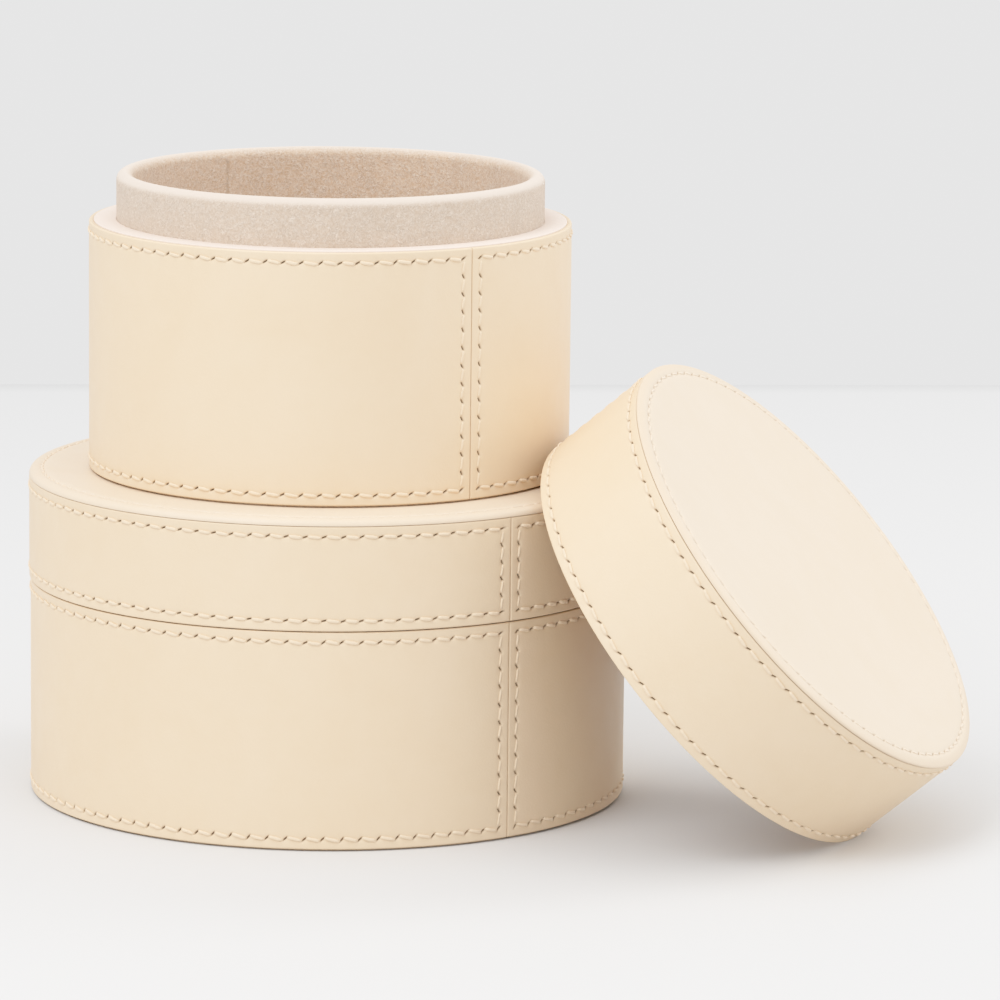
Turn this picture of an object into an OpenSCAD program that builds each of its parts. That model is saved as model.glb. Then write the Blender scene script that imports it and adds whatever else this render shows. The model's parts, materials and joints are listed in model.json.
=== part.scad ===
// Stack of two round leather-covered hat boxes, built as neck boxes.
// The large box stands closed. The small box stands open on its lid, and the
// small box's own lid leans against the stack, rim on the floor.
// Origin: centre of the large box's underside. +Z up, front towards -Y.

/* [Large box] */
// Outer diameter of the base
large_d = 203; // [170:1:240]
// Height of the base, from the floor to its shoulder
large_base_h = 73.7; // [60:0.1:100]
// Height of the lid, from its rim to its top
large_lid_h = 37.2; // [28:0.1:50]

/* [Small box] */
// Outer diameter of the base
small_d = 163.2; // [140:0.1:166]
// Height of the base, from its underside to its shoulder
small_base_h = 84.9; // [60:0.1:110]
// Height of the lid, from its rim to its top
small_lid_h = 44.9; // [30:0.1:60]

/* [Boards] */
// Thickness of the bottom boards
bottom_board_t = 6; // [3:0.5:9]
// Thickness of the base's wall board
wall_board_t = 7.6; // [7:0.1:10]
// Thickness of the neck board inside the wall
neck_board_t = 3.4; // [2.4:0.1:6]
// Height of the neck above the shoulder
neck_h = 16; // [8:0.5:24]
// Thickness of the lid's wall board
lid_wall_board_t = 5.8; // [3:0.1:6.2]
// Thickness of the lid's top board
lid_top_board_t = 5; // [3:0.1:6]

/* [Leather and suede] */
// Thickness of the leather
leather_t = 1.6; // [1.2:0.1:2]
// Thickness of the leather ring on the shoulder
shoulder_t = 1.2; // [0.8:0.1:1.6]
// Thickness of the suede lining
suede_t = 1.2; // [0.8:0.1:1.6]
// How far the lid's leather stands proud of the base's, on the radius
lid_overhang = 0.4; // [0:0.1:0.8]
// How far the large lid's top leather is turned down over its edge
large_fold = 2.4; // [1.6:0.1:3]
// How far the small lid's top leather is turned down over its edge
small_fold = 1.7; // [1.6:0.1:3]
// How far a lid's top falls off towards its edge
crown = 1.1; // [0.4:0.1:1.3]
// Width of the ring round the top where it falls off
crown_w = 4; // [3:0.1:4]
// Rounding of the leather strips' edges
strip_edge_r = 0.5; // [0.3:0.1:0.7]

/* [Stitching] */
// Width of the thread
thread_w = 1.3; // [0.8:0.1:2]
// How far the thread is sunk into the leather
thread_sink = 0.5; // [0.2:0.1:0.8]
// How far the thread stands proud of the leather
thread_rise = 0.3; // [0.1:0.1:0.4]
// Distance from a strip's edge to the middle of its stitch row
row_inset = 3.4; // [2:0.1:5]
// Width of the upright seam where a strip's ends meet
seam_gap = 0.3; // [0.2:0.1:0.6]
// Distance of the top leather's stitch row from the lid's outer face
top_row_inset = 4.5; // [3.5:0.1:8]
// Width of the top leather's stitch row
top_row_w = 1; // [0.6:0.1:1.4]
// Turn of the large box's upright seams about its axis, from the front to the right
large_seam_turn = 37.6; // [0:0.1:90]
// Turn of the small base's upright seam, the same way
small_seam_turn = 36.4; // [0:0.1:90]

/* [Leaning lid] */
// Turn of the lid's axis about the vertical, from +X towards the front
lean_turn = 19.5; // [10:0.1:30]
// Angle of the lid's axis above the floor
lean_angle = 40.3; // [38:0.1:44]
// Distance of the rim's centre to the right of the stack's axis
lean_x = 128.4; // [128:0.1:150]
// Distance of the rim's centre in front of the stack's axis
lean_y = 51.8; // [40:0.1:60]
// Turn of its band's seam about its axis; 270 puts it at the top
lean_seam_turn = 272; // [0:1:359]

/* [Hidden] */
$fn = 120;
eps = 0.01;
cut = 4;

// The neck stands inside the wall board, and suede covers both its faces.
wall_t = leather_t + wall_board_t;
neck_t = neck_board_t + 2 * suede_t;
lid_wall_t = leather_t + lid_wall_board_t + suede_t;
lid_top_t = leather_t + lid_top_board_t + suede_t;

large_r = large_d / 2;
small_r = small_d / 2;
large_lid_r = large_r + lid_overhang;
small_lid_r = small_r + lid_overhang;
stack_h = large_base_h + large_lid_h;

// The wall leather stops short of the surface that the box stands on, and of
// the shoulder that the lid rests on.
foot_gap = 0.7;
shoulder_gap = 0.4;
// The lid's band stops short of the top leather's turned-down edge.
fold_gap = 0.2;
// Radius of the arc by which a lid's top falls off
crown_r = (crown_w * crown_w + crown * crown) / (2 * crown);
hem_w = lid_wall_t - suede_t;
// The lid's lining stops just above its rim.
lining_gap = 0.6;
front = -90;

// Height of the leaning lid's rim centre that sets its lowest point on the floor
lean_z = (small_lid_r - strip_edge_r) * cos(lean_angle)
       - strip_edge_r * sin(lean_angle) + strip_edge_r;

// ---- Shared shapes ----

// Rectangle with round corners, from (r0, z0) to (r1, z1)
module round_rect(r0, z0, r1, z1, e) {
    translate([r0 + e, z0]) square([r1 - r0 - 2 * e, z1 - z0]);
    translate([r0, z0 + e]) square([r1 - r0, z1 - z0 - 2 * e]);
    for (r = [r0 + e, r1 - e], z = [z0 + e, z1 - e])
        translate([r, z]) circle(r = e, $fn = 48);
}

// Plain ring or tube
module tube(r0, r1, z0, z1) {
    rotate_extrude() translate([r0, z0]) square([r1 - r0, z1 - z0]);
}

// Plain round panel
module disc(r, z0, z1) {
    translate([0, 0, z0]) cylinder(r = r, h = z1 - z0);
}

// Thread of a bordered strip, between two depths either side of the face at
// radius r: a row by each edge and a row each side of the upright seam
module strip_rows(r, z0, z1, turn, sink, rise) {
    for (z = [z0 + row_inset, z1 - row_inset])
        tube(r - sink, r + rise, z - thread_w / 2, z + thread_w / 2);
    for (side = [-1, 1])
        rotate([0, 0, front + turn])
            translate([r - sink, side * row_inset - thread_w / 2, z0 + row_inset])
                cube([sink + rise, thread_w, z1 - z0 - 2 * row_inset]);
}

// Slit between the ends of a strip, right through its thickness
module strip_slit(r0, r1, z0, z1, turn) {
    rotate([0, 0, front + turn])
        translate([r0 - eps, -seam_gap / 2, z0 - cut])
            cube([r1 - r0 + cut, seam_gap, z1 - z0 + 2 * cut]);
}

// ---- Base of a box: r is its outer radius, h its height to the shoulder ----

module bottom_board(r) {
    disc(r - wall_t, leather_t, leather_t + bottom_board_t);
}

module wall_board(r, h) {
    tube(r - wall_t, r - leather_t, leather_t, h - shoulder_t);
}

// Outline of the neck with a fully rounded top, taken in by an inset all round
module neck_outline(r, h, inset) {
    nose_r = neck_t / 2 - inset;
    mid = r - wall_t - neck_t / 2;
    foot = leather_t + bottom_board_t;
    nose_z = h + neck_h - neck_t / 2;
    translate([mid - nose_r, foot]) square([2 * nose_r, nose_z - foot]);
    translate([mid, nose_z]) circle(r = nose_r, $fn = 64);
}

module neck_board(r, h) {
    rotate_extrude() neck_outline(r, h, suede_t);
}

// One sleeve of suede: up the inside, over the top and down the outside
module neck_suede(r, h) {
    rotate_extrude() difference() {
        neck_outline(r, h, 0);
        neck_outline(r, h, suede_t);
    }
}

module floor_suede(r) {
    foot = leather_t + bottom_board_t;
    disc(r - wall_t - neck_t, foot, foot + suede_t);
}

module underside_leather(r) {
    rotate_extrude() difference() {
        round_rect(-r, 0, r - leather_t, leather_t, strip_edge_r);
        translate([-2 * r, -cut]) square([2 * r, 2 * cut + leather_t]);
    }
}

module shoulder_leather(r, h) {
    tube(r - wall_t, r - leather_t, h - shoulder_t, h);
}

module base_wall_leather(r, h, turn) {
    top = h - shoulder_gap;
    difference() {
        rotate_extrude() round_rect(r - leather_t, foot_gap, r, top, strip_edge_r);
        strip_rows(r, foot_gap, top, turn, thread_sink, cut);
        strip_slit(r - leather_t, r, foot_gap, top, turn);
    }
}

module base_stitching(r, h, turn) {
    strip_rows(r, foot_gap, h - shoulder_gap, turn, thread_sink, thread_rise);
}

// ---- Lid of a box: r is its outer radius, h its height, rim at z = 0 ----

module lid_top_board(r, h) {
    disc(r - leather_t, h - leather_t - lid_top_board_t, h - leather_t);
}

module lid_wall_board(r, h) {
    tube(r - hem_w, r - leather_t, leather_t, h - leather_t - lid_top_board_t);
}

// One strip of leather on the wall, turned in under the rim
module lid_band_leather(r, h, fold, turn) {
    top = h - fold - fold_gap;
    difference() {
        rotate_extrude() union() {
            round_rect(r - leather_t, 0, r, top, strip_edge_r);
            round_rect(r - hem_w, 0, r, leather_t, strip_edge_r);
        }
        strip_rows(r, 0, top, turn, thread_sink, cut);
        strip_slit(r - hem_w, r, 0, top, turn);
    }
}

module lid_band_stitching(r, h, fold, turn) {
    strip_rows(r, 0, h - fold - fold_gap, turn, thread_sink, thread_rise);
}

module edge_row(r, z0, z1) {
    mid = r - top_row_inset;
    tube(mid - top_row_w / 2, mid + top_row_w / 2, z0, z1);
}

// Top leather, crowned at the edge, which is turned down over the top board by a fold
module lid_top_leather(r, h, fold) {
    difference() {
        rotate_extrude() intersection() {
            translate([0, h - fold]) square([r, fold]);
            union() {
                translate([0, h - fold]) square([r - crown_w, fold]);
                translate([r - crown_w, h - crown_r]) circle(crown_r);
            }
        }
        disc(r - leather_t, h - fold - cut, h - leather_t);
        edge_row(r, h - thread_sink, h + cut);
    }
}

module lid_edge_stitching(r, h) {
    edge_row(r, h - thread_sink, h);
}

module lid_top_suede(r, h) {
    disc(r - lid_wall_t, h - lid_top_t, h - lid_top_t + suede_t);
}

module lid_wall_suede(r, h) {
    tube(r - lid_wall_t, r - hem_w, lining_gap, h - lid_top_t + suede_t);
}

// ---- Places of the four parts ----

module at_large_lid() {
    translate([0, 0, large_base_h]) children();
}

module at_small_base() {
    translate([0, 0, stack_h]) children();
}

module at_small_lid() {
    translate([lean_x, -lean_y, lean_z])
        rotate([0, 90 - lean_angle, -lean_turn]) children();
}

// ---- Large base ----

module large_base_bottom_board() {
    color("burlywood") bottom_board(large_r);
}

module large_base_wall_board() {
    color("burlywood") wall_board(large_r, large_base_h);
}

module large_base_neck_board() {
    color("burlywood") neck_board(large_r, large_base_h);
}

module large_base_wall_leather() {
    color("antiquewhite") base_wall_leather(large_r, large_base_h, large_seam_turn);
}

module large_base_underside_leather() {
    color("antiquewhite") underside_leather(large_r);
}

module large_base_shoulder_leather() {
    color("linen") shoulder_leather(large_r, large_base_h);
}

module large_base_neck_suede() {
    color("tan") neck_suede(large_r, large_base_h);
}

module large_base_floor_suede() {
    color("tan") floor_suede(large_r);
}

module large_base_stitching() {
    color("ivory") base_stitching(large_r, large_base_h, large_seam_turn);
}

// ---- Large lid ----

module large_lid_top_board() {
    color("burlywood") at_large_lid() lid_top_board(large_lid_r, large_lid_h);
}

module large_lid_wall_board() {
    color("burlywood") at_large_lid() lid_wall_board(large_lid_r, large_lid_h);
}

module large_lid_band_leather() {
    color("antiquewhite") at_large_lid()
        lid_band_leather(large_lid_r, large_lid_h, large_fold, large_seam_turn);
}

module large_lid_top_leather() {
    color("oldlace") at_large_lid() lid_top_leather(large_lid_r, large_lid_h, large_fold);
}

module large_lid_wall_suede() {
    color("tan") at_large_lid() lid_wall_suede(large_lid_r, large_lid_h);
}

module large_lid_top_suede() {
    color("tan") at_large_lid() lid_top_suede(large_lid_r, large_lid_h);
}

module large_lid_band_stitching() {
    color("ivory") at_large_lid()
        lid_band_stitching(large_lid_r, large_lid_h, large_fold, large_seam_turn);
}

module large_lid_edge_stitching() {
    color("ivory") at_large_lid() lid_edge_stitching(large_lid_r, large_lid_h);
}

// ---- Small base ----

module small_base_bottom_board() {
    color("burlywood") at_small_base() bottom_board(small_r);
}

module small_base_wall_board() {
    color("burlywood") at_small_base() wall_board(small_r, small_base_h);
}

module small_base_neck_board() {
    color("burlywood") at_small_base() neck_board(small_r, small_base_h);
}

module small_base_wall_leather() {
    color("antiquewhite") at_small_base() base_wall_leather(small_r, small_base_h, small_seam_turn);
}

module small_base_underside_leather() {
    color("antiquewhite") at_small_base() underside_leather(small_r);
}

module small_base_shoulder_leather() {
    color("linen") at_small_base() shoulder_leather(small_r, small_base_h);
}

module small_base_neck_suede() {
    color("tan") at_small_base() neck_suede(small_r, small_base_h);
}

module small_base_floor_suede() {
    color("tan") at_small_base() floor_suede(small_r);
}

module small_base_stitching() {
    color("ivory") at_small_base() base_stitching(small_r, small_base_h, small_seam_turn);
}

// ---- Small lid ----

module small_lid_top_board() {
    color("burlywood") at_small_lid() lid_top_board(small_lid_r, small_lid_h);
}

module small_lid_wall_board() {
    color("burlywood") at_small_lid() lid_wall_board(small_lid_r, small_lid_h);
}

module small_lid_band_leather() {
    color("antiquewhite") at_small_lid()
        lid_band_leather(small_lid_r, small_lid_h, small_fold, lean_seam_turn);
}

module small_lid_top_leather() {
    color("oldlace") at_small_lid() lid_top_leather(small_lid_r, small_lid_h, small_fold);
}

module small_lid_wall_suede() {
    color("tan") at_small_lid() lid_wall_suede(small_lid_r, small_lid_h);
}

module small_lid_top_suede() {
    color("tan") at_small_lid() lid_top_suede(small_lid_r, small_lid_h);
}

module small_lid_band_stitching() {
    color("ivory") at_small_lid()
        lid_band_stitching(small_lid_r, small_lid_h, small_fold, lean_seam_turn);
}

module small_lid_edge_stitching() {
    color("ivory") at_small_lid() lid_edge_stitching(small_lid_r, small_lid_h);
}

large_base_bottom_board();
large_base_wall_board();
large_base_neck_board();
large_base_wall_leather();
large_base_underside_leather();
large_base_shoulder_leather();
large_base_neck_suede();
large_base_floor_suede();
large_base_stitching();
large_lid_top_board();
large_lid_wall_board();
large_lid_band_leather();
large_lid_top_leather();
large_lid_wall_suede();
large_lid_top_suede();
large_lid_band_stitching();
large_lid_edge_stitching();
small_base_bottom_board();
small_base_wall_board();
small_base_neck_board();
small_base_wall_leather();
small_base_underside_leather();
small_base_shoulder_leather();
small_base_neck_suede();
small_base_floor_suede();
small_base_stitching();
small_lid_top_board();
small_lid_wall_board();
small_lid_band_leather();
small_lid_top_leather();
small_lid_wall_suede();
small_lid_top_suede();
small_lid_band_stitching();
small_lid_edge_stitching();
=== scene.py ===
"""Looks of the round hat box stack: stitched leather, suede linings, studio.

Every part is built in its own local frame, in metres: a base with the origin at
the centre of its underside, a lid with the origin at the centre of its rim, +Z
up the part's axis. build_parts places each of them on its CAD body.
"""
import json
import math
import random

import bpy
import numpy as np
from mathutils import Matrix, Vector, noise


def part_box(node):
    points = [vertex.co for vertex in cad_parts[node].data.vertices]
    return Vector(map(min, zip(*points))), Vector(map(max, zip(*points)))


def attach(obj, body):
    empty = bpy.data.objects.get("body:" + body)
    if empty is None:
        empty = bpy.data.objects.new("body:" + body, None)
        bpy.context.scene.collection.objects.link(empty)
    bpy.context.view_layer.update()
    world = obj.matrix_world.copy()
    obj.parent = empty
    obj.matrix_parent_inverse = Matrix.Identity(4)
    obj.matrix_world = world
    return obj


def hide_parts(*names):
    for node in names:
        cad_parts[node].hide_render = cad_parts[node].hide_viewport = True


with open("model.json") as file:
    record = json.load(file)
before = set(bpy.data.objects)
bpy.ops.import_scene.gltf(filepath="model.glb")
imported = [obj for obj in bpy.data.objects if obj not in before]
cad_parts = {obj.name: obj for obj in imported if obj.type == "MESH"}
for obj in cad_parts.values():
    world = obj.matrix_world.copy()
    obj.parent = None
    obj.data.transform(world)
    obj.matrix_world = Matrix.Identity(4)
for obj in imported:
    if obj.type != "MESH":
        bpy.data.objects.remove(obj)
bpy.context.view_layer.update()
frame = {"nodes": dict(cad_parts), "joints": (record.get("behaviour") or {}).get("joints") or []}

MM = 0.001

# ---- Sizes shared by all the parts, as in the CAD model ----

LEATHER = 1.6 * MM
SHOULDER = 1.2 * MM
SUEDE = 1.2 * MM
LID_TOP_BOARD = 5 * MM
LID_WALL_BOARD = 5.8 * MM
BOTTOM_BOARD = 6 * MM
WALL = 9.2 * MM
NECK = 5.8 * MM
NECK_RISE = 16 * MM
HEM = LEATHER + LID_WALL_BOARD
LID_WALL = HEM + SUEDE
FOOT_GAP = 0.7 * MM
SHOULDER_GAP = 0.4 * MM
FOLD_GAPS = {"large_lid": 0.1 * MM, "small_lid": 0.2 * MM}
FOLDS = {"large_lid": 2.4 * MM, "small_lid": 1.7 * MM}
CROWN = 1.1 * MM
CROWN_WIDTH = 4 * MM
STRIP_EDGE = 0.5 * MM
LINING_GAP = 0.6 * MM
SEAM_GAP = 0.16 * MM
ROW_INSET = 3.4 * MM
EDGE_ROW = 4.5 * MM

# ---- Stitching ----

PITCH = 6.18 * MM
UPRIGHT_PITCH = 5.8 * MM
EDGE_PITCH = 5.4 * MM
SLOT_HALF = 0.98 * MM
SLOT_HALF_WIDTH = 0.22 * MM
SLOT_DEPTH = 0.8 * MM
THREAD_HALF = 0.60 * MM
# An upright row's thread is finer and lies deeper in the leather, an edge row's finer still
THREAD_RISE = 0.08 * MM
UPRIGHT_THREAD = {"half_width": 0.46 * MM, "rise": -0.10 * MM}
EDGE_THREAD = {"half_width": 0.42 * MM, "rise": -0.20 * MM, "around": 8, "steps": 10}
# A thread is flatter than it is wide, and its plies twist round it so many times in a stitch
THREAD_FLATNESS = 0.62
PLY_TURNS = 2.2
# The leather is drawn in round each hole, and in a shallow channel along the row
DIMPLE_DEPTH, DIMPLE_REACH = 0.12 * MM, 1.3 * MM
CHANNEL_DEPTH, CHANNEL_HALF = 0.14 * MM, 0.9 * MM
# The mesh follows a hole's slant this far along the row, and this far across it
SLANT_ALONG = 1.1 * MM
SLANT_ACROSS, SLANT_FADE = 2.7 * MM, 2.2 * MM
# Slant of the holes in a row, in degrees: by a base's foot, by its shoulder, on a lid
FOOT_SLANTS = {"large_base": 44, "small_base": 28}
SHOULDER_SLANT, LID_SLANT, UPRIGHT_SLANT = 33, 20, 30

# Angles of the upright seams about each part's axis; the first three face the front
FRONT = math.radians(-90)
SEAMS = {
    "large_base": FRONT + math.radians(37.6),
    "large_lid": FRONT + math.radians(37.6),
    "small_base": FRONT + math.radians(36.4),
    "small_lid": FRONT + math.radians(272),
}
# How brown the cut upper edge of a strip is, partly its own colour and partly painted shade for the gap it
# sits in; the small base's is pale, and in plain view
EDGE_STAIN_AND_SHADE = {"large_base": 1.0, "large_lid": 0.8, "small_base": 0.15, "small_lid": 1.0}
# How much painted shade darkens a lid's top where its edge is turned down
TURNED_SHADE_AMOUNT = {"large_lid": 0.25, "small_lid": 0.7}
# Angle of the butt seam of a suede lining, at the back left
SUEDE_SEAM = math.radians(124)


# ---- Measures taken from the frame ----

def extent(node, place):
    """Largest radius, lowest and highest point of a CAD node in a part's local frame."""
    back = place.inverted()
    points = [back @ v.co for v in frame["nodes"][node].data.vertices]
    return (
        max(math.hypot(p.x, p.y) for p in points),
        min(p.z for p in points),
        max(p.z for p in points),
    )


def middle(node):
    low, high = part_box(node)
    return (low + high) / 2


def upright_place(node):
    """Local frame of a part that stands upright, from its lowest node."""
    return Matrix.Translation((0, 0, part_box(node)[0].z))


def leaning_place():
    """Local frame of the leaning lid, from its axis and the middles of two plain nodes."""
    joint = next(j for j in frame["joints"] if j["child"] == "small_lid")
    axis = Vector(joint["axis"]).normalized()
    wall = middle("small_lid_wall_board")
    reach = (middle("small_lid_top_suede") - wall).dot(axis)
    height = 2 * reach + 2 * LEATHER + LID_TOP_BOARD + SUEDE
    rim = wall - axis * (height - LID_TOP_BOARD) / 2
    turn = Matrix.Rotation(math.atan2(axis.y, axis.x), 4, "Z")
    tip = Matrix.Rotation(math.acos(axis.z), 4, "Y")
    return Matrix.Translation(rim) @ turn @ tip


# ---- Mesh helpers ----

def make_object(name, verts, faces, part, node, material, smooth=True, marks=None):
    """Object from points and faces, placed on its part, standing for a CAD node."""
    mesh = bpy.data.meshes.new(name)
    mesh.from_pydata(np.asarray(verts).tolist(), [], faces)
    mesh.validate()
    if smooth:
        mesh.polygons.foreach_set("use_smooth", [True] * len(mesh.polygons))
    for mark, values in (marks or {}).items():
        layer = mesh.attributes.new(mark, "FLOAT", "POINT")
        layer.data.foreach_set("value", np.asarray(values, np.float32))
    mesh.materials.append(material["made"])
    obj = bpy.data.objects.new(name, mesh)
    bpy.context.scene.collection.objects.link(obj)
    obj.matrix_world = part["place"]
    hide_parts(node)
    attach(obj, part["body"])
    return obj


def bridge(a, b):
    """Faces between two closed rings of vertex numbers; one may have k times more."""
    if len(a) == len(b):
        n = len(a)
        return [(a[i], a[(i + 1) % n], b[(i + 1) % n], b[i]) for i in range(n)]
    if len(a) < len(b):
        return [tuple(reversed(f)) for f in bridge(b, a)]
    k = len(a) // len(b)
    faces = []
    for j, inner in enumerate(b):
        following = b[(j + 1) % len(b)]
        fan = [a[(j * k + i) % len(a)] for i in range(k + 1)]
        half = k // 2
        for i in range(k):
            apex = inner if i < half else following
            faces.append((fan[i], fan[i + 1], apex))
        faces.append((inner, fan[half], following))
    return faces


def ring_mesh(rings, closed=False, cap_first=False, cap_last=False):
    """Points and faces of a skin through a list of rings, each an array of points."""
    starts = np.cumsum([0] + [len(r) for r in rings])
    numbers = [list(range(starts[i], starts[i + 1])) for i in range(len(rings))]
    verts = np.vstack(rings)
    faces = []
    for i in range(len(rings) - 1):
        faces += bridge(numbers[i], numbers[i + 1])
    if closed:
        faces += bridge(numbers[-1], numbers[0])
    if cap_first:
        faces += fan_to_middle(rings[0], numbers[0], len(verts), True)
        verts = np.vstack([verts, np.mean(rings[0], axis=0)])
    if cap_last:
        faces += fan_to_middle(rings[-1], numbers[-1], len(verts), False)
        verts = np.vstack([verts, np.mean(rings[-1], axis=0)])
    return verts, faces


def fan_to_middle(ring, numbers, middle_number, first):
    n = len(ring)
    pairs = [(numbers[i], numbers[(i + 1) % n]) for i in range(n)]
    if first:
        return [(b, a, middle_number) for a, b in pairs]
    return [(a, b, middle_number) for a, b in pairs]


def circle_points(radius, z, angles):
    radius = np.broadcast_to(radius, angles.shape)
    z = np.broadcast_to(z, angles.shape)
    return np.column_stack([radius * np.cos(angles), radius * np.sin(angles), z])


def even_angles(count):
    return np.arange(count) * 2 * math.pi / count


def lumps(points, size, seed=0.0):
    """Smooth noise from -1 to 1 at some points, with lumps of about that size."""
    shift = Vector((seed, 2.7 * seed, 5.1 * seed))
    return np.array([noise.noise(Vector(p) / size + shift) for p in points])


def arc(center, radius, start, end, steps):
    """Points (r, z) along an arc in a profile; angles in degrees, 0 outwards."""
    turns = np.radians(np.linspace(start, end, steps + 1))
    return [(center[0] + radius * math.cos(t), center[1] + radius * math.sin(t)) for t in turns]


def spaced(start, end, step):
    """Values strictly between start and end, about a step apart."""
    count = max(1, round(abs(end - start) / step))
    return list(np.linspace(start, end, count + 1)[1:-1])


# ---- Rows of stitches ----

class Row:
    """A straight row of slanted holes in a sheet's flat coordinates (s along, z across it).

    origin is the first hole, upright says that the row runs along z. Only the holes from
    first to last are cut; an upright row shares its two end holes with the other rows.
    """

    def __init__(self, origin, length, pitch, slant, upright, rng, closed=False):
        self.origin = origin
        self.count = max(1, round(length / pitch))
        self.pitch = length / self.count
        self.slant = math.radians(slant)
        self.upright = upright
        self.closed = closed
        holes = self.count if closed else self.count + 1
        self.first, self.last = (1, self.count - 1) if upright else (0, self.count)
        self.shift = np.array([[rng.gauss(0, 0.10 * MM), rng.gauss(0, 0.05 * MM)] for _ in range(holes)])
        self.turn = np.array([rng.gauss(0, 0.07) for _ in range(holes)])
        if not closed:
            self.shift[[0, -1]] = 0

    def local(self, s, z):
        """Along and across the row, from its first hole."""
        if self.upright:
            return z - self.origin[1], self.origin[0] - s
        return s - self.origin[0], z - self.origin[1]

    def flat(self, along, across):
        if self.upright:
            return self.origin[0] - across, self.origin[1] + along
        return self.origin[0] + along, self.origin[1] + across

    def nearest(self, along):
        """Number of the nearest hole, where its shift and turn are kept, and the way to it."""
        near = np.rint(along / self.pitch).astype(int)
        if self.closed:
            hole = near % self.count
        else:
            near = np.clip(near, self.first, self.last)
            hole = near
        return hole, along - near * self.pitch - self.shift[hole, 0]

    def align(self, s, z):
        """Grid points moved so that the grid's lines run along the slanted holes."""
        along, across = self.local(s, z)
        hole, da = self.nearest(along)
        held = np.clip((self.pitch / 2 - np.abs(da)) / (self.pitch / 2 - SLANT_ALONG), 0, 1)
        fade = np.clip((SLANT_ACROSS - np.abs(across)) / SLANT_FADE, 0, 1)
        lean = np.tan(self.slant + self.turn[hole]) * np.clip(da, -SLANT_ALONG, SLANT_ALONG) * held
        return self.flat(along, across + (lean + self.shift[hole, 1]) * fade)

    def pull(self, s, z):
        """How deep the holes and the tight thread draw the leather in, and how much painted shade darkens
        each hole.
        """
        along, across = self.local(s, z)
        hole, da = self.nearest(along)
        past = 0 if self.closed else np.maximum(0, np.maximum(-along, along - self.count * self.pitch))
        reach = np.exp(-((past / (0.6 * MM)) ** 2))
        db = across - self.shift[hole, 1]
        angle = self.slant + self.turn[hole]
        u = (da * np.cos(angle) + db * np.sin(angle)) / SLOT_HALF
        v = (-da * np.sin(angle) + db * np.cos(angle)) / SLOT_HALF_WIDTH
        slot = np.exp(-(u ** 6) - v ** 2)
        dimple = np.exp(-(da ** 2 + db ** 2) / DIMPLE_REACH ** 2)
        channel = reach * np.exp(-((across / CHANNEL_HALF) ** 2))
        depth = SLOT_DEPTH * slot + DIMPLE_DEPTH * dimple + CHANNEL_DEPTH * channel
        # Painted shade inside each slanted hole, from 0 to 1
        dark = np.exp(-(u ** 6) - (v / 1.25) ** 2)
        return depth, np.clip(dark, 0, 1)

    def stitches(self, rng, half_width=THREAD_HALF, rise=THREAD_RISE, around=12, steps=14):
        """Points of every stitch as arrays (stitch, ring, side) of s, z and height.

        A stitch comes up at the top of one slanted hole and goes down at the foot of the next.
        """
        t = np.linspace(0, 1, steps + 1)
        bend = np.abs(2 * t - 1)
        turn = even_angles(around)
        lift = rise + (-SLOT_DEPTH * 0.9 - rise) * bend ** 6
        wide = 1 - 0.50 * bend ** 3
        reach = 0.80 * SLOT_HALF
        found = []
        for k in range(self.count):
            start = self.shift[k]
            after = (k + 1) % self.count if self.closed else k + 1
            stop = self.shift[after]
            slants = self.slant + self.turn[k], self.slant + self.turn[after]
            a0 = k * self.pitch + start[0] + reach * math.cos(slants[0])
            b0 = start[1] + reach * math.sin(slants[0])
            a1 = (k + 1) * self.pitch + stop[0] - reach * math.cos(slants[1])
            b1 = stop[1] - reach * math.sin(slants[1])
            run = math.hypot(a1 - a0, b1 - b0)
            ahead = ((a1 - a0) / run, (b1 - b0) / run)
            belly = rng.gauss(0, 0.05 * MM)
            size = half_width * (1 + rng.gauss(0, 0.05))
            phase = rng.uniform(0, 2 * math.pi)
            twist = turn[None, :] * 2 + phase + 2 * math.pi * PLY_TURNS * t[:, None]
            ply = 1 + 0.05 * np.cos(twist)
            side = size * wide[:, None] * np.cos(turn)[None, :] * ply
            up = THREAD_FLATNESS * size * wide[:, None] * np.sin(turn)[None, :] * ply
            bow = belly * (1 - bend ** 2)
            along = a0 + (a1 - a0) * t[:, None] - ahead[1] * (side + bow[:, None])
            across = b0 + (b1 - b0) * t[:, None] + ahead[0] * (side + bow[:, None])
            s, z = self.flat(along, across)
            found.append(np.stack([s, z, lift[:, None] + up], axis=-1))
        return np.array(found)


def thread_mesh(grids):
    """Points (s, z, height) and faces of many stitches, each a closed little tube."""
    verts, faces, base = [], [], 0
    for grid in grids:
        count, rings, around = grid.shape[:3]
        for stitch in grid.reshape(count, rings * around, 3):
            verts.append(stitch)
            for i in range(rings - 1):
                for j in range(around):
                    a = base + i * around + j
                    b = base + i * around + (j + 1) % around
                    faces.append((a, b, b + around, a + around))
            last = base + (rings - 1) * around
            faces.append(tuple(base + j for j in reversed(range(around))))
            faces.append(tuple(last + j for j in range(around)))
            base += rings * around
    return np.vstack(verts), faces


# ---- A leather strip wrapped round a wall, its ends meeting in an upright seam ----

HOLE_ALONG = np.array([-2.0, -1.35, -1.05, -0.85, -0.45, 0, 0.45, 0.85, 1.05, 1.35, 2.0]) * MM
HOLE_ACROSS = np.array([-2.7, -1.6, -0.95, -0.55, -0.3, -0.15, 0, 0.15, 0.3, 0.55, 0.95, 1.6, 2.7]) * MM
END_ZONE = 5.9 * MM
END_ROUND = 0.45 * MM
END_COLUMNS = np.array([0, 0.06, 0.14, 0.25, 0.4, 0.7]) * MM


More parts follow.
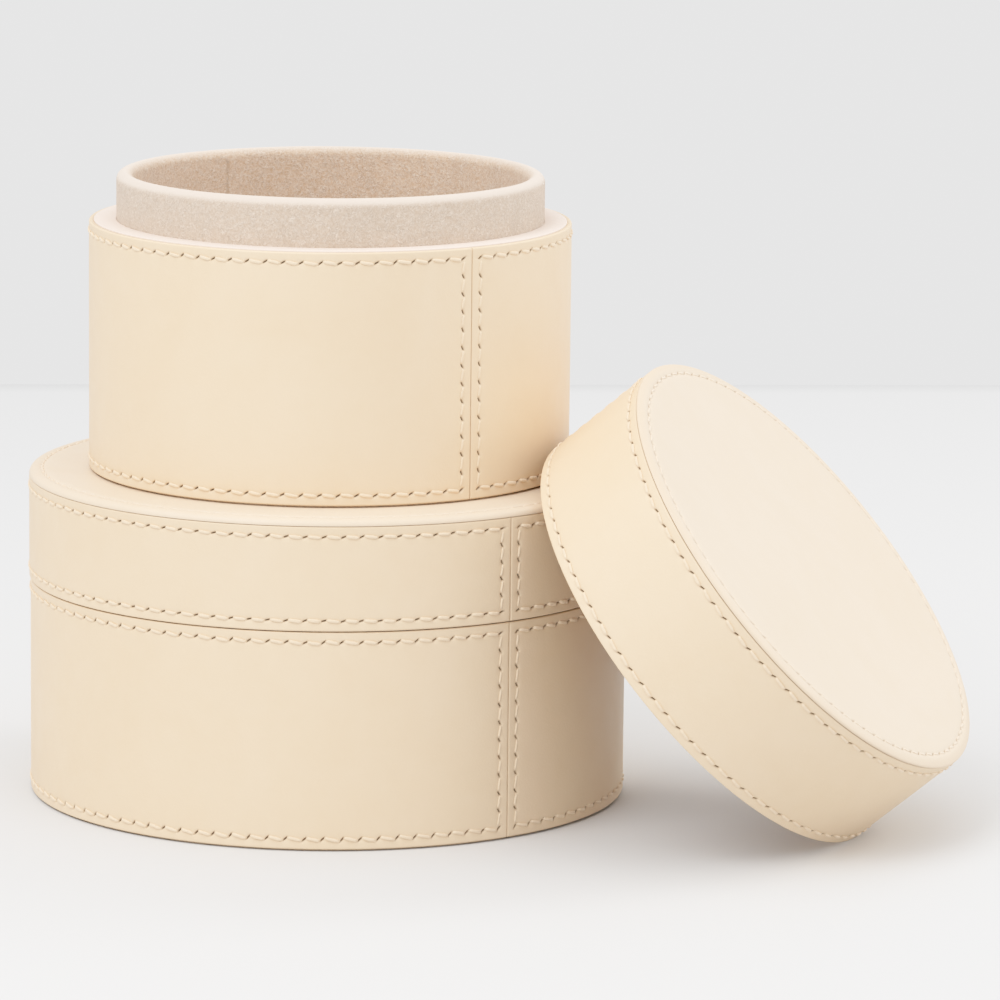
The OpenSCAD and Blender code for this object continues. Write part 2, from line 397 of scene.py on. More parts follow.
class Strip:
    """Flat layout of a strip on radius r between heights z0 and z1."""

    def __init__(self, r, z0, z1, seam, slants, hem, stain_and_shade, rng):
        self.r, self.z0, self.z1, self.seam, self.hem, self.stain_and_shade = r, z0, z1, seam, hem, stain_and_shade
        self.length = 2 * math.pi * r - SEAM_GAP
        ends = (ROW_INSET, self.length - ROW_INSET)
        low, high = z0 + ROW_INSET, z1 - ROW_INSET
        run, rise = ends[1] - ends[0], high - low
        self.rows = [
            Row((ends[0], low), run, PITCH, slants[0], False, rng),
            Row((ends[0], high), run, PITCH, slants[1], False, rng),
            Row((ends[0], low), rise, UPRIGHT_PITCH, UPRIGHT_SLANT, True, rng),
            Row((ends[1], low), rise, UPRIGHT_PITCH, UPRIGHT_SLANT, True, rng),
        ]

    def columns(self):
        """Places along the strip, close together at the holes and at the ends."""
        row = self.rows[0]
        end = list(END_COLUMNS) + [x for x in ROW_INSET + HOLE_ACROSS if x > END_COLUMNS[-1] + 0.1 * MM]
        end = end[:-1] + [ROW_INSET + HOLE_ALONG[-1], END_ZONE]
        places = set(np.round(end, 6)) | set(np.round(self.length - np.array(end), 6))
        for k in range(row.count + 1):
            at = row.origin[0] + k * row.pitch
            for offset in list(HOLE_ALONG) + [-row.pitch / 2]:
                place = at + offset
                if END_ZONE + 0.1 * MM < place < self.length - END_ZONE - 0.1 * MM:
                    places.add(round(place, 6))
        return np.array(sorted(places))

    def heights(self, fine):
        """Heights up the outer face, close together at the rows, and if fine all the way."""
        low, high = self.z0 + ROW_INSET, self.z1 - ROW_INSET
        found = set()
        for at in (low, high):
            found |= set(np.round(at + HOLE_ACROSS, 6))
        bottom, top = low + HOLE_ACROSS[-1], high + HOLE_ACROSS[0]
        for k in range(1, 5):
            found.add(round(bottom + (top - bottom) * k / 5, 6))
        if fine:
            for a, b in zip(sorted(found)[:-1], sorted(found)[1:]):
                if a >= bottom - MM * 0.01 and b <= top + MM * 0.01:
                    found |= set(np.round(spaced(a, b, 0.36 * MM), 6))
        return sorted(found)

    def outline(self, fine):
        """Closed outline of the strip's cut as (inset, z, key); key orders shared points."""
        e, t = STRIP_EDGE, LEATHER
        z0, z1 = self.z0, self.z1
        if self.hem:
            start = [(t, z0 + t), (HEM - 0.3 * MM, z0 + t), (HEM, z0 + t - 0.3 * MM)]
            start += [(HEM, z0 + e), (HEM - 0.15 * MM, z0 + 0.15 * MM), (HEM - e, z0)]
            start += [(HEM * 0.55, z0), (e * 1.6, z0)]
        else:
            start = [(t, z0 + 0.05 * MM), (t * 0.7, z0)]
        start += [(e - x, z0 + e + y) for x, y in arc((0, 0), e, -90, 0, 6)][:-1]
        face = [(0, z) for z in [z0 + e] + self.heights(fine) + [z1 - e]]
        end = [(e - x, z1 - e + y) for x, y in arc((0, 0), e, 0, 90, 6)][1:]
        end += [(t * 0.7, z1), (t, z1 - 0.05 * MM)]
        return start + face + end

    def skin(self):
        """Points, faces and marks of the strip: painted shade in its stitch holes, and its brown cut edges,
        partly painted shade in the gaps.
        """
        coarse, fine = self.outline(False), self.outline(True)
        shared = {(round(x, 7), round(z, 7)) for x, z in coarse}
        keep = [i for i, (x, z) in enumerate(fine) if (round(x, 7), round(z, 7)) in shared]
        columns = self.columns()
        starts, outlines, base = [], [], 0
        is_fine = (columns < END_ZONE + 0.01 * MM) | (columns > self.length - END_ZONE - 0.01 * MM)
        for flag in is_fine:
            starts.append(base)
            outlines.append(fine if flag else coarse)
            base += len(outlines[-1])
        s = np.concatenate([np.full(len(o), c) for o, c in zip(outlines, columns)])
        inset = np.concatenate([[x for x, _ in o] for o in outlines])
        z = np.concatenate([[y for _, y in o] for o in outlines])
        outer = np.clip(1 - inset / STRIP_EDGE, 0, 1)
        near_end = np.minimum(s, self.length - s)
        upper = z > (self.z0 + self.z1) / 2
        # The cut edges are brown, partly their own colour and partly painted shade in the gaps: the upper
        # edge as much as it is stained and shaded, a base's foot fully, a lid's hem not at all
        shown = np.where(upper, self.stain_and_shade, 0 if self.hem else 1)
        cut = np.clip((inset - 0.3 * MM) / (0.8 * MM), 0, 1) * shown
        # The strip's ends at the upright seam get a little painted shade
        cut = np.maximum(cut, 0.12 * np.clip(1 - near_end / (0.10 * MM), 0, 1))
        depth, dark = np.zeros_like(s), np.zeros_like(s)
        on_face = inset == 0
        for row in self.rows:
            moved = row.align(s, z)
            s, z = np.where(on_face, moved[0], s), np.where(on_face, moved[1], z)
        for row in self.rows:
            d, k = row.pull(s, z)
            depth, dark = np.maximum(depth, d), np.maximum(dark, k)
        slope = np.clip(1 - near_end / END_ROUND, 0, 1)
        depth = depth + END_ROUND * (1 - np.sqrt(1 - slope ** 2))
        angle = self.seam + (s + SEAM_GAP / 2) / self.r
        flat = np.column_stack([np.cos(angle) * self.r, np.sin(angle) * self.r, z])
        sway = 0.07 * MM * lumps(flat, 34 * MM, self.r * 40) + 0.03 * MM * lumps(flat, 11 * MM, 3)
        radius = self.r - inset + outer * (sway - depth)
        verts = np.column_stack([radius * np.cos(angle), radius * np.sin(angle), z])
        faces = self.faces(starts, is_fine, len(coarse), len(fine), keep)
        return verts, faces, {"hole_shade": dark * outer, "cut": cut}

    def faces(self, starts, is_fine, n_coarse, n_fine, keep):
        found = []
        for c in range(len(starts) - 1):
            a, b = starts[c], starts[c + 1]
            if is_fine[c] == is_fine[c + 1]:
                n = n_fine if is_fine[c] else n_coarse
                found += [(a + i, b + i, b + (i + 1) % n, a + (i + 1) % n) for i in range(n)]
            else:
                found += self.zip_columns(a, b, is_fine[c], n_coarse, n_fine, keep)
        first = n_fine if is_fine[0] else n_coarse
        final = n_fine if is_fine[-1] else n_coarse
        found.append(tuple(starts[0] + i for i in range(first)))
        found.append(tuple(starts[-1] + i for i in reversed(range(final))))
        return found

    def zip_columns(self, a, b, fine_first, n_coarse, n_fine, keep):
        """Triangles between a column with the fine outline and one with the coarse one."""
        found = []
        for i in range(n_coarse):
            j = (i + 1) % n_coarse
            lo, hi = keep[i], keep[j] if j else keep[0] + n_fine
            many = [m % n_fine for m in range(lo, hi + 1)]
            dense, sparse = (a, b) if fine_first else (b, a)
            half = (len(many) - 1) // 2
            tris = []
            for m in range(len(many) - 1):
                apex = sparse + (i if m < half else j)
                tris.append((dense + many[m], apex, dense + many[m + 1]))
            tris.append((dense + many[half], sparse + i, sparse + j))
            found += tris if fine_first else [tuple(reversed(f)) for f in tris]
        return found

    def thread(self, rng):
        """Points and faces of all the strip's stitches, on the wall."""
        runs = [row.stitches(rng, **(UPRIGHT_THREAD if row.upright else {})) for row in self.rows]
        flat, faces = thread_mesh(runs)
        angle = self.seam + (flat[:, 0] + SEAM_GAP / 2) / self.r
        radius = self.r + flat[:, 2]
        return np.column_stack([radius * np.cos(angle), radius * np.sin(angle), flat[:, 1]]), faces


def leather_strip(part, nodes, z0, z1, slants, hem):
    """The strip and its stitching, standing for the two CAD nodes."""
    rng = random.Random(part["seed"])
    strip = Strip(part["r"], z0, z1, part["seam"], slants, hem, EDGE_STAIN_AND_SHADE[part["name"]], rng)
    verts, faces, marks = strip.skin()
    make_object(nodes[0] + "_strip", verts, faces, part, nodes[0], LEATHER_LOOK, marks=marks)
    verts, faces = strip.thread(rng)
    make_object(nodes[1] + "_thread", verts, faces, part, nodes[1], THREAD_LOOK)


# ---- Base pieces ----

def nap(points, strength, size=1.3 * MM):
    """Lift of a suede surface at some points."""
    return strength * (0.6 * lumps(points, size) + 0.4 * lumps(points, size * 0.5, 4))


def suede_sleeve(part):
    """One sleeve of suede over the neck board, its nap in the mesh where it shows."""
    r_out = part["r"] - WALL
    r_in = r_out - NECK
    foot = LEATHER + BOTTOM_BOARD
    nose = part["h"] + NECK_RISE - NECK / 2
    mid = (r_in + r_out) / 2
    napped = nose - 34 * MM
    inside = [(r_in, z) for z in [foot] + spaced(foot, napped, 4 * MM) + [napped]]
    inside += [(r_in, z) for z in spaced(napped, nose, 0.9 * MM)]
    over = arc((mid, nose), NECK / 2, 180, 0, 14)
    shoulder = part["h"] - 1 * MM
    outside = [(r_out, z) for z in spaced(nose, shoulder, 0.55 * MM) + [shoulder, foot]]
    hidden = NECK / 2 - SUEDE
    back = [(mid + hidden, foot)] + arc((mid, nose), hidden, 0, 180, 8) + [(mid - hidden, foot)]
    angles = even_angles(800)
    gap = np.abs((angles - SUEDE_SEAM + math.pi) % (2 * math.pi) - math.pi) * r_in
    crease = np.exp(-((gap / (0.35 * MM)) ** 2))
    rings, rims, creases, outers = [], [], [], []
    for i, (r, z) in enumerate(inside + over + outside):
        ring = circle_points(r, z, angles)
        outward = min(1.0, max(0.0, 0.5 + (r - mid) / NECK))
        rim = min(1.0, max(0.0, (z - nose - 0.4 * MM) / (1.2 * MM))) * min(1.0, outward * 2.2)
        if z > foot:
            soft = nap(ring, 0.12 * MM) * (1 - 0.7 * rim) + 0.10 * MM * lumps(ring, 22 * MM, 8)
            lean = min(1.0, max(-1.0, (r - mid) / (NECK / 2)))
            rise = (1 - abs(lean)) if z > nose else 0.0
            if i < len(inside):
                soft = soft - 0.3 * MM * crease
            ring = circle_points(r + lean * soft, z + rise * soft, angles)
        rings.append(ring)
        rims.append(np.full(len(angles), rim))
        creases.append(crease if i < len(inside) else np.zeros(len(angles)))
        outers.append(np.full(len(angles), outward))
    rings += [circle_points(r, z, angles) for r, z in back]
    spare = np.zeros(len(back) * len(angles))
    verts, faces = ring_mesh(rings, closed=True)
    faces = [tuple(reversed(f)) for f in faces]
    node = part["name"] + "_neck_suede"
    marks = {"rim": rims, "crease": creases, "outer": outers}
    marks = {mark: np.concatenate(values + [spare]) for mark, values in marks.items()}
    make_object(node + "_sleeve", verts, faces, part, node, SUEDE_LOOK, marks=marks)


def round_sheet(part, node, name, radius, z0, z1, edge, look, lift=0.05 * MM, count=256):
    """Flat round sheet with soft edges: a lining panel or the underside's leather."""
    angles = even_angles(count)
    top = [(radius * f, z1) for f in (0.12, 0.3, 0.5, 0.7, 0.85, 0.94)]
    top += arc((radius - edge, z1 - edge), edge, 90, 0, 5)
    under = arc((radius - edge, z0 + edge), edge, 0, -90, 5)
    under += [(radius * f, z0) for f in (0.9, 0.6, 0.3, 0.12)]
    rings = []
    for r, z in top + under:
        few = r < radius * 0.4
        ring = circle_points(r, z, angles[::8] if few else angles)
        ring[:, 2] += lift * lumps(ring, 13 * MM, 2) * (1 if z == z1 else 0)
        rings.append(ring)
    verts, faces = ring_mesh(rings, cap_first=True, cap_last=True)
    make_object(name, verts, [tuple(reversed(f)) for f in faces], part, node, look)


def soft_tube(part, node, name, r0, r1, z0, z1, edge, look, lift=0.0, count=360, rows=14):
    """Short tube with rounded edges, its inner face alive with a little unevenness."""
    angles = even_angles(count)
    profile = arc((r1 - edge, z1 - edge), edge, 0, 90, 4) + arc((r0 + edge, z1 - edge), edge, 90, 180, 4)
    profile += [(r0, z) for z in spaced(z1 - edge, z0 + edge, (z1 - z0) / rows)]
    profile += arc((r0 + edge, z0 + edge), edge, 180, 270, 4) + arc((r1 - edge, z0 + edge), edge, 270, 360, 4)
    rings = []
    for r, z in profile:
        ring = circle_points(r, z, angles)
        sway = lift * lumps(ring, 9 * MM, 6)
        rings.append(circle_points(r + sway, z, angles))
    verts, faces = ring_mesh(rings, closed=True)
    make_object(name, verts, faces, part, node, look)


def build_base(part):
    name, r, h = part["name"], part["r"], part["h"]
    leather_strip(part, (name + "_wall_leather", name + "_stitching"), FOOT_GAP, h - SHOULDER_GAP,
                  (FOOT_SLANTS[name], SHOULDER_SLANT), False)
    suede_sleeve(part)
    foot = LEATHER + BOTTOM_BOARD
    round_sheet(part, name + "_floor_suede", name + "_floor_panel", r - WALL - NECK, foot,
                foot + SUEDE, 0.3 * MM, SUEDE_LOOK, 0.12 * MM)
    round_sheet(part, name + "_underside_leather", name + "_underside_panel", r - LEATHER, 0,
                LEATHER, STRIP_EDGE, LEATHER_LOOK, 0)
    soft_tube(part, name + "_shoulder_leather", name + "_shoulder_ring", r - WALL, r - LEATHER,
              h - SHOULDER, h, 0.25 * MM, PALE_LOOK, 0.04 * MM, rows=2)


# ---- Lid pieces ----

def crown(r, radius):
    """How far a lid's top has fallen off at a distance from its middle."""
    bend = (CROWN_WIDTH ** 2 + CROWN ** 2) / (2 * CROWN)
    past = np.clip(radius - (r - CROWN_WIDTH), 0, CROWN_WIDTH)
    return bend - np.sqrt(bend ** 2 - past ** 2)


def top_panel(part):
    """Top leather with its edge turned down, and the sunken row of stitches round it."""
    name, r, h = part["name"], part["r"], part["h"]
    fold = FOLDS[name]
    round_r = fold - CROWN - 0.25 * MM
    rng = random.Random(part["seed"] + 50)
    row_r = r - EDGE_ROW
    row = Row((0, 0), 2 * math.pi * row_r, EDGE_PITCH, LID_SLANT, False, rng, closed=True)
    offsets = np.concatenate([HOLE_ALONG, [-row.pitch / 2]])
    around = row.count * row.pitch
    places = sorted((k * row.pitch + o) % around for k in range(row.count) for o in offsets)
    angles = np.array(places) / row_r
    low = h - fold
    lip = 0.2 * MM
    edge = [(x, z - crown(r, x)) for x, z in arc((r - round_r, h - round_r), round_r, 90, 0, 9)]
    edge += arc((r - lip, low + lip), lip, 0, -90, 3) + [(r - 0.9 * MM, low)]
    edge += [(r - LEATHER, low), (r - LEATHER, h - LEATHER)]
    step = len(offsets)
    rings, marks, cut_edges_and_shade, turned = [], [], [], []

    def add(radius, z, turns, across=None, cut=0.0):
        s = turns * row_r
        dark = np.zeros(len(turns))
        fall = np.zeros(len(turns))
        if across is not None:
            s, moved = row.align(s, np.full(len(turns), across))
            depth, dark = row.pull(s, moved)
            fall = 0.8 * depth + 0.16 * MM * np.exp(-((moved / (0.9 * MM)) ** 2))
            radius = row_r - moved
        ring = circle_points(radius, z, s / row_r)
        away = np.hypot(ring[:, 0], ring[:, 1])
        if z == h:
            sway = 0.06 * MM * lumps(ring, 30 * MM, 11) + 0.02 * MM * lumps(ring, 8 * MM, 12)
            ring[:, 2] += sway * np.clip((r - away) / CROWN_WIDTH, 0, 1) - fall - crown(r, away)
        rings.append(ring)
        marks.append(dark)
        cut_edges_and_shade.append(np.full(len(turns), cut))
        # Painted shade on the top's turned-down edge, growing towards the rim
        turned.append(TURNED_SHADE_AMOUNT[name] * np.clip((away - r + CROWN_WIDTH) / (0.7 * CROWN_WIDTH), 0, 1))

    for f in (0.10, 0.25, 0.42, 0.6, 0.76, 0.88):
        add(row_r * f, h, angles[::step])
    for f in (0.93, 0.96):
        add(row_r * f, h, angles)
    for across in HOLE_ACROSS[::-1][:-1]:
        add(row_r, h, angles, across)
    for radius in [row_r + 2.0 * MM] + spaced(row_r + 2.0 * MM, r - round_r, 0.5 * MM):
        add(radius, h, angles)
    # The lowest edge of the turned-down top counts as a cut edge, brown partly as painted shade in the fold
    # gap
    for radius, z in edge:
        add(radius, z, angles, cut=float(z <= low + 0.01 * MM))
    for f in (0.5, 0.1):
        add(row_r * f, h - LEATHER, angles[::step])
    verts, faces = ring_mesh(rings, cap_first=True, cap_last=True)
    found = {"hole_shade": marks, "cut": cut_edges_and_shade, "turned": turned}
    found = {mark: np.concatenate(values + [np.zeros(2)]) for mark, values in found.items()}
    # The painted shade in the holes of a lid top's edge row is kept faint
    found["hole_shade"] *= 0.35
    faces = [tuple(reversed(f)) for f in faces]
    node = name + "_top_leather"
    make_object(node + "_panel", verts, faces, part, node, TOP_LIT_LOOK, marks=found)
    flat, faces = thread_mesh([row.stitches(rng, **EDGE_THREAD)])
    angle = flat[:, 0] / row_r
    verts = circle_points(row_r - flat[:, 1], h + flat[:, 2], angle)
    node = name + "_edge_stitching"
    make_object(node + "_thread", verts, faces, part, node, EDGE_THREAD_LOOK)


def build_lid(part):
    name, r, h = part["name"], part["r"], part["h"]
    top = h - FOLDS[name] - FOLD_GAPS[name]
    leather_strip(part, (name + "_band_leather", name + "_band_stitching"), 0, top,
                  (LID_SLANT, LID_SLANT), True)
    top_panel(part)
    ceiling = h - LEATHER - LID_TOP_BOARD
    round_sheet(part, name + "_top_suede", name + "_top_lining", r - LID_WALL, ceiling - SUEDE,
                ceiling, 0.3 * MM, SUEDE_LOOK, 0)
    soft_tube(part, name + "_wall_suede", name + "_wall_lining", r - LID_WALL, r - HEM,
              LINING_GAP, ceiling, 0.35 * MM, SUEDE_LOOK, 0.10 * MM)


# ---- Materials ----

class Look:
    """A Principled material with short calls for its nodes. Sizes are in metres."""

    def __init__(self, name, slot, **values):
        self.slot = slot
        self.material = bpy.data.materials.new(name)
        self.material.use_nodes = True
        self.tree = self.material.node_tree
        self.shader = self.tree.nodes["Principled BSDF"]
        for socket, value in values.items():
            self.shader.inputs[socket.replace("_", " ")].default_value = value
        self.place = self.tree.nodes.new("ShaderNodeTexCoord").outputs["Object"]

    def node(self, kind, inputs=None, **settings):
        made = self.tree.nodes.new("ShaderNode" + kind)
        for key, value in settings.items():
            setattr(made, key, value)
        for key, value in (inputs or {}).items():
            if isinstance(value, bpy.types.NodeSocket):
                self.tree.links.new(value, made.inputs[key])
            else:
                made.inputs[key].default_value = value
        return made

    def grain(self, size, detail=3.0, rough=0.5, distort=0.0, stretch=None):
        """Noise with features of about that size."""
        place = self.place
        if stretch:
            place = self.node("Mapping", {"Vector": place, "Scale": stretch}).outputs[0]
        values = {"Vector": place, "Scale": 1 / size, "Detail": detail, "Roughness": rough}
        values["Distortion"] = distort
        return self.node("TexNoise", values).outputs["Fac"]

    def cells(self, size, feature="SMOOTH_F1"):
        """Rounded cells of about that size, as in leather grain."""
        values = {"Vector": self.place, "Scale": 1 / size}
        return self.node("TexVoronoi", values, feature=feature).outputs["Distance"]

    def ramp(self, factor, *stops):
        made = self.node("ValToRGB", {"Fac": factor})
        band = made.color_ramp
        for extra in range(len(stops) - 2):
            band.elements.new(0.5)
        for element, (at, color) in zip(band.elements, stops):
            element.position = at
            element.color = (*color, 1)
        return made.outputs["Color"]

    def span(self, factor, low, high):
        """Factor from 0..1 spread between two values."""
        return self.node("MapRange", {"Value": factor, "To Min": low, "To Max": high}).outputs["Result"]

    def mix(self, factor, a, b, blend="MIX"):
        made = self.node("Mix", data_type="RGBA", blend_type=blend)
        for index, value in ((0, factor), (6, a), (7, b)):
            if isinstance(value, bpy.types.NodeSocket):
                self.tree.links.new(value, made.inputs[index])
            else:
                made.inputs[index].default_value = value
        return made.outputs[2]

    def math(self, operation, a, b):
        made = self.node("Math", operation=operation)
        for index, value in ((0, a), (1, b)):
            if isinstance(value, bpy.types.NodeSocket):
                self.tree.links.new(value, made.inputs[index])
            else:
                made.inputs[index].default_value = value
        return made.outputs[0]

    def mark(self, name):
        return self.node("Attribute", attribute_name=name).outputs["Fac"]

    def bump(self, height, distance, strength=1.0, under=None):
        values = {"Height": height, "Distance": distance, "Strength": strength}
        if under:
            values["Normal"] = under
        return self.node("Bump", values).outputs["Normal"]

    def finish(self, **sockets):
        for socket, value in sockets.items():
            self.tree.links.new(value, self.shader.inputs[socket.replace("_", " ")])
        return {"made": self.material, "slot": self.slot}


CUT_EDGE_AND_SHADE_COLOR = (0.17, 0.09, 0.036, 1)
TURNED_SHADE_COLOR = (0.76, 0.575, 0.405, 1)


def leather_look(name, slot, light, mid, deep, hole_shade_color=(0.09, 0.048, 0.019, 1), rough=(0.40, 0.58)):
    """Smooth hide: clouded colour, fine pores, a soft uneven sheen, brown cut edges partly darkened with
    painted shade in the gaps, and painted shade on a lid top's turned-down edge and in the stitch holes.
    """
    look = Look(name, slot, Specular_IOR_Level=0.38)
    clouds = look.grain(42 * MM, 4, 0.55, 0.6)
    patches = look.grain(9 * MM, 5, 0.6)
    tone = look.mix(0.35, look.ramp(clouds, (0.30, light), (0.52, mid), (0.75, deep)),
                    look.ramp(patches, (0.32, light), (0.55, mid), (0.80, deep)))
    pores = look.cells(0.75 * MM)
    fine = look.grain(0.5 * MM, 5, 0.65)
    tone = look.mix(look.span(fine, 0.0, 0.08), tone, (*[c * 0.72 for c in deep], 1))
    # Painted shade on a lid top's turned-down edge
    tone = look.mix(look.mark("turned"), tone, TURNED_SHADE_COLOR)
    # Brown cut edges, partly their own colour and partly painted shade in the gaps
    tone = look.mix(look.span(look.mark("cut"), 0.0, 0.85), tone, CUT_EDGE_AND_SHADE_COLOR)
    # Painted shade in the stitch holes, standing for the shade inside them
    tone = look.mix(look.span(look.mark("hole_shade"), 0.0, 0.96), tone, hole_shade_color)
    worn = look.span(patches, *rough)
    relief = look.bump(look.grain(4.5 * MM, 3, 0.5), 0.10 * MM, 0.5)
    relief = look.bump(pores, 0.05 * MM, 0.55, relief)
    relief = look.bump(fine, 0.035 * MM, 0.6, relief)
    return look.finish(Base_Color=tone, Roughness=worn, Normal=relief)


def suede_look(name, slot, light, mid, deep, rim, outer):
    """Brushed suede: a matted nap of little curls that catch the light, rubbed smooth at the rim."""
    look = Look(name, slot, Sheen_Weight=0.25, Sheen_Roughness=0.5, Specular_IOR_Level=0.15, Roughness=0.92)
    look.shader.inputs["Sheen Tint"].default_value = (0.95, 0.88, 0.82, 1)
    worn = look.mark("rim")
    rough = look.math("SUBTRACT", 1.0, look.span(worn, 0.0, 0.9))
    brushed = look.grain(15 * MM, 3, 0.5, 0.8)
    tufts = look.grain(2.4 * MM, 3, 0.6, 0.6)
    strands = look.grain(1.5 * MM, 2, 0.5, 1.6)
    curls = look.ramp(strands, (0.42, (0, 0, 0)), (0.50, (1, 1, 1)), (0.58, (0, 0, 0)))
    curls = look.math("MULTIPLY", curls, look.ramp(tufts, (0.40, (0.25, 0.25, 0.25)), (0.56, (1, 1, 1))))
    fibres = look.grain(0.7 * MM, 4, 0.65, 0.8)
    pale, dark = [c * 1.10 for c in mid], [c * 0.86 for c in mid]
    tone = look.mix(0.5, look.ramp(brushed, (0.30, pale), (0.50, mid), (0.72, dark)),
                    look.ramp(fibres, (0.36, deep), (0.48, mid), (0.62, light)))
    tone = look.mix(look.span(look.mark("outer"), 0.0, 0.4), tone, (*outer, 1))
    tone = look.mix(look.math("MULTIPLY", curls, 0.8), tone, (*light, 1))
    tone = look.mix(look.span(worn, 0.0, 0.9), tone, (*rim, 1))
    tone = look.mix(look.span(look.mark("crease"), 0.0, 0.45), tone, (*[c * 0.6 for c in deep], 1))
    relief = look.bump(look.math("MULTIPLY", curls, rough), 0.12 * MM, 0.8)
    relief = look.bump(look.math("MULTIPLY", fibres, rough), 0.25 * MM, 0.7, relief)
    return look.finish(Base_Color=tone, Normal=relief)


def thread_look(name, slot, light, deep):
    """Waxed thread: fine fibre along it and a slight sheen."""
    look = Look(name, slot, Specular_IOR_Level=0.35, Sheen_Weight=0.15)
    fibres = look.grain(0.28 * MM, 4, 0.6, 0.3)
    tone = look.ramp(fibres, (0.30, deep), (0.62, light))
    waxed = look.span(look.grain(2 * MM, 2), 0.48, 0.66)
    relief = look.bump(fibres, 0.06 * MM, 0.7)
    return look.finish(Base_Color=tone, Roughness=waxed, Normal=relief)


def board_look(name, slot):
    """Pressed fibreboard: short flecks in a brown ground."""
    look = Look(name, slot, Specular_IOR_Level=0.2)
    flecks = look.grain(0.9 * MM, 5, 0.7, 0.5, (1, 1, 4))
    clouds = look.grain(14 * MM, 3)
    tone = look.ramp(flecks, (0.34, (0.30, 0.20, 0.11)), (0.55, (0.50, 0.36, 0.22)),
                     (0.72, (0.62, 0.48, 0.32)))
    relief = look.bump(flecks, 0.12 * MM, 0.6)
    return look.finish(Base_Color=tone, Roughness=look.span(clouds, 0.78, 0.92), Normal=relief)


LEATHER_LOOK = leather_look("cream_hide", "leather", (0.826, 0.629, 0.433), (0.812, 0.611, 0.411),
                            (0.794, 0.587, 0.385))
# The lid tops get a paler, lighter copy of the cream hide: painted light, standing for the light from above
# on the top faces
TOP_LIT_LOOK = leather_look("cream_hide_top_lit", "leather", (0.800, 0.645, 0.491), (0.786, 0.628, 0.470),
                        (0.768, 0.608, 0.445))
PALE_LOOK = leather_look("pale_split", "shoulder_leather", (0.835, 0.70, 0.615), (0.825, 0.69, 0.60),
                         (0.805, 0.665, 0.57), rough=(0.62, 0.78))
SUEDE_LOOK = suede_look("napped_suede", "suede", (0.79, 0.665, 0.555), (0.595, 0.415, 0.285),
                        (0.41, 0.26, 0.165), (0.715, 0.60, 0.51), (0.54, 0.48, 0.42))
EDGE_THREAD_LOOK = thread_look("fine_thread", "thread", (0.835, 0.680, 0.525),
                               (0.790, 0.620, 0.455))
THREAD_LOOK = thread_look("waxed_thread", "thread", (0.850, 0.662, 0.470), (0.800, 0.592, 0.395))
BOARD_LOOK = board_look("pressed_board", "board")


# ---- The four parts ----

def make_part(body, place, outer_node, top_node, seed):
    r = extent(outer_node, place)[0]
    h = extent(top_node, place)[2]
    return {"name": body, "body": body, "place": place, "r": r, "h": h, "seam": SEAMS[body], "seed": seed}


def build_parts():
    for base, seed in (("large_base", 1), ("small_base", 3)):
        place = upright_place(base + "_underside_leather")
        build_base(make_part(base, place, base + "_wall_leather", base + "_shoulder_leather", seed))
    places = {"large_lid": upright_place("large_lid_band_leather"), "small_lid": leaning_place()}
    for lid, seed in (("large_lid", 2), ("small_lid", 4)):
        build_lid(make_part(lid, places[lid], lid + "_band_leather", lid + "_top_leather", seed))
    for node, obj in frame["nodes"].items():
        if node.endswith("_board"):
            obj.data.materials.clear()
            obj.data.materials.append(BOARD_LOOK["made"])


# ---- Studio ----

CAMERA_AT = Vector((0.0583, -2.1436, 0.4846))
CAMERA_PITCH = math.radians(10.18)
CAMERA_ROLL = math.radians(0.62)
CAMERA_LENS = 230.0
# Half width and near edge of the table, its far edge, and the band along it that is painted darker, as
# painted shade where the edge turns away
TABLE_HALF, TABLE_NEAR = 6.0, -6.0
TABLE_END = 0.861
TABLE_FADE = 0.024
TABLE_THICK = 0.03
# The table is turned a little, so that its far edge is level in the picture
TABLE_TURN = math.radians(3.55)
TABLE_COLOR = (0.690, 0.690, 0.690)
TABLE_EDGE_SHADE_COLOR = (0.590, 0.590, 0.590)
WORLD_STRENGTH = 0.625
# How strongly the tone curve bends
SHOULDER_BEND = 1.6
MIDDLE_OF_STACK = Vector((0.05, 0, 0.1))


def add_camera():
    data = bpy.data.cameras.new("camera")
    data.lens = CAMERA_LENS
    data.sensor_width = 36
    data.clip_end = 20
    camera = bpy.data.objects.new("camera", data)
    bpy.context.scene.collection.objects.link(camera)
    upright = Matrix.Rotation(math.pi / 2 - CAMERA_PITCH, 4, "X")
    roll = Matrix.Rotation(CAMERA_ROLL, 4, "Z")
    camera.matrix_world = Matrix.Translation(CAMERA_AT) @ upright @ roll
    bpy.context.scene.camera = camera


def table_look():
    """Matt paint, with painted shade in a band along the far edge, where it turns away."""
    look = Look("table", None, Roughness=0.7, Specular_IOR_Level=0.2)
    along = look.node("SeparateXYZ", {"Vector": look.place}).outputs["Y"]
    values = {"Value": along, "From Min": TABLE_END - TABLE_FADE, "From Max": TABLE_END}
    far = look.node("MapRange", values).outputs["Result"]
    # Painted shade along the far edge
    return look.finish(Base_Color=look.mix(far, (*TABLE_COLOR, 1), (*TABLE_EDGE_SHADE_COLOR, 1)))["made"]


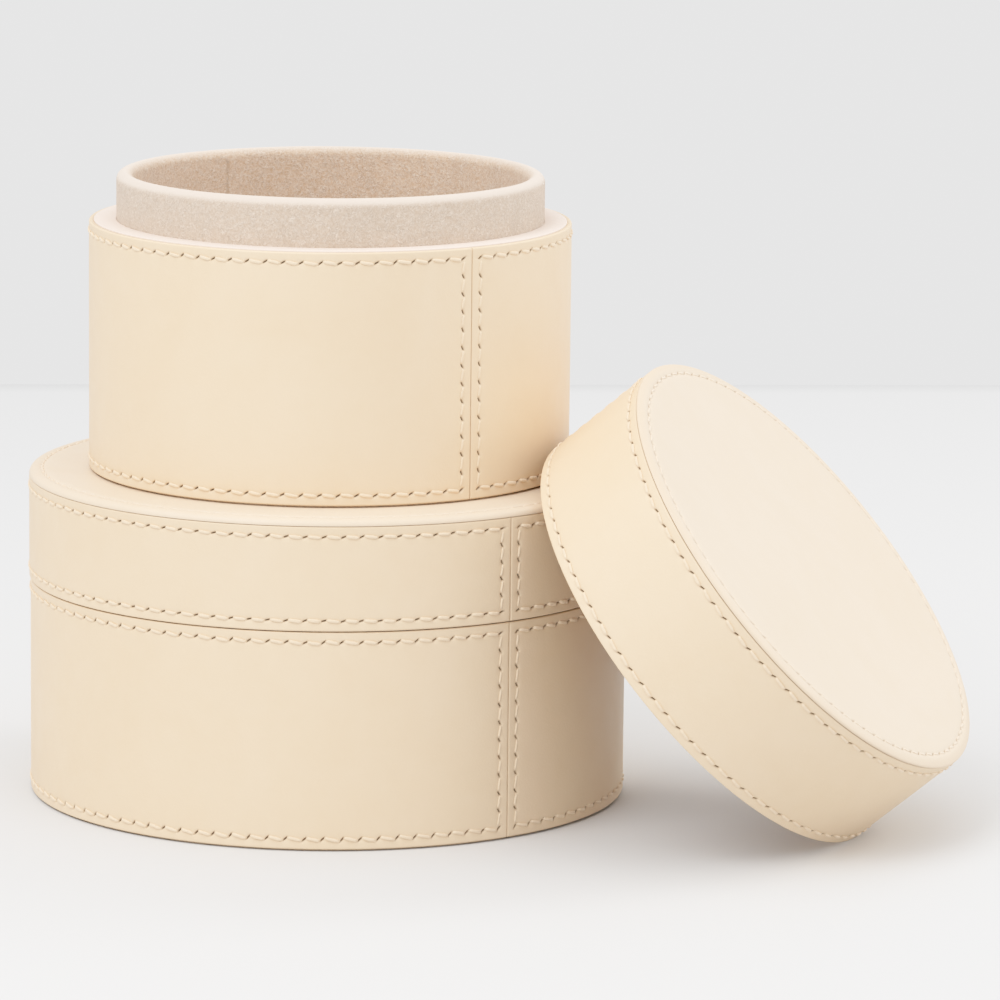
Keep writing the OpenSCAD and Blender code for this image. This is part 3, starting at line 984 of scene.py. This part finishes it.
def add_stage():
    """A pale table top. Past its far edge there is only the pale world."""
    profile = [(TABLE_NEAR, 0), (TABLE_END, 0), (TABLE_END, -TABLE_THICK)]
    verts = [(x, y, z) for y, z in profile for x in (-TABLE_HALF, TABLE_HALF)]
    faces = [(2 * i, 2 * i + 1, 2 * i + 3, 2 * i + 2) for i in range(len(profile) - 1)]
    mesh = bpy.data.meshes.new("table")
    mesh.from_pydata(verts, [], faces)
    mesh.materials.append(table_look())
    obj = bpy.data.objects.new("table", mesh)
    obj.matrix_world = Matrix.Rotation(TABLE_TURN, 4, "Z")
    bpy.context.scene.collection.objects.link(obj)


def add_light(name, at, size, power):
    """Soft box of a size in metres and a power in watts, aimed at the stack."""
    data = bpy.data.lights.new(name, "AREA")
    data.shape = "RECTANGLE"
    data.size, data.size_y = size
    data.energy = power
    light = bpy.data.objects.new(name, data)
    bpy.context.scene.collection.objects.link(light)
    turn = (MIDDLE_OF_STACK - Vector(at)).to_track_quat("-Z", "Y").to_matrix().to_4x4()
    light.matrix_world = Matrix.Translation(at) @ turn


def add_tone_curve(view):
    """Soft shoulder, as a photograph has, so that pale leather keeps its colour in the light."""
    view.view_transform = "Standard"
    view.look = "None"
    view.use_curve_mapping = True
    curve = view.curve_mapping.curves[3]
    full = 1 - math.exp(-SHOULDER_BEND)
    for level in (0.1, 0.25, 0.5, 0.75):
        curve.points.new(level, (1 - math.exp(-SHOULDER_BEND * level)) / full)
    view.curve_mapping.update()


def add_lights():
    add_light("key", (-1.0, -1.3, 1.9), (1.4, 1.4), 21.5)
    add_light("overhead", (0, -0.2, 2.4), (2.2, 1.6), 10.5)
    add_light("front_right", (1.2, -1.5, 1.7), (1.4, 1.4), 2.6)
    add_light("back_right", (1.7, 0.45, 0.9), (0.6, 1.2), 8)
    world = bpy.data.worlds.new("studio")
    world.use_nodes = True
    world.node_tree.nodes["Background"].inputs["Color"].default_value = (1, 1, 1, 1)
    world.node_tree.nodes["Background"].inputs["Strength"].default_value = WORLD_STRENGTH
    bpy.context.scene.world = world


build_parts()
add_camera()
add_stage()
add_lights()
add_tone_curve(bpy.context.scene.view_settings)
